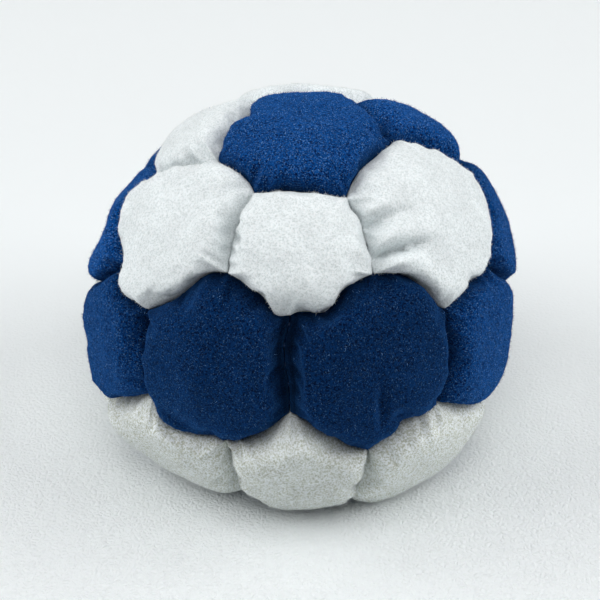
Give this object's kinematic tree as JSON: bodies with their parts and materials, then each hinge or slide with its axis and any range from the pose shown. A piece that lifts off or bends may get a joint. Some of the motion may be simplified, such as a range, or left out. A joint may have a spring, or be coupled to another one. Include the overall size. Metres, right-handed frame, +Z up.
{
  "type": "footbag",
  "caption": "Soft kicking footbag: a ball of pentagon and hexagon suede panels sewn round a sand filling, settled on a flat base.",
  "frame": {"origin": "on the floor under the middle of the resting bag", "axes": "+Z up, -Y towards the side with the front pentagon, +X to the right as that side is seen"},
  "size_m": [0.0531, 0.053, 0.0434],
  "materials": {
    "blue_suede": "brushed nap, matte",
    "white_suede": "brushed nap, matte",
    "sand": "dry loose grains, matte"
  },
  "bodies": {
    "root": {"front_pentagon": "white_suede", "front_hexagon_top": "blue_suede", "front_hexagon_upper_right": "white_suede", "front_hexagon_lower_right": "blue_suede", "front_hexagon_lower_left": "blue_suede", "front_hexagon_upper_left": "white_suede", "front_side_pentagon_upper_right": "blue_suede", "front_side_pentagon_lower_right": "blue_suede", "front_side_pentagon_bottom": "white_suede", "front_side_pentagon_lower_left": "blue_suede", "front_side_pentagon_upper_left": "white_suede", "front_side_hexagon_top": "white_suede", "front_side_hexagon_upper_right": "blue_suede", "front_side_hexagon_lower_right": "white_suede", "front_side_hexagon_lower_left": "white_suede", "front_side_hexagon_upper_left": "blue_suede", "rear_side_hexagon_upper_right": "white_suede", "rear_side_hexagon_lower_right": "white_suede", "rear_side_hexagon_bottom": "blue_suede", "rear_side_hexagon_lower_left": "white_suede", "rear_side_hexagon_upper_left": "blue_suede", "rear_side_pentagon_top": "blue_suede", "rear_side_pentagon_upper_right": "white_suede", "rear_side_pentagon_lower_right": "blue_suede", "rear_side_pentagon_lower_left": "blue_suede", "rear_side_pentagon_upper_left": "white_suede", "rear_hexagon_upper_right": "blue_suede", "rear_hexagon_lower_right": "blue_suede", "rear_hexagon_bottom": "white_suede", "rear_hexagon_lower_left": "blue_suede", "rear_hexagon_upper_left": "white_suede", "rear_pentagon": "white_suede", "sand_fill": "sand"}
  },
  "joints": []
}
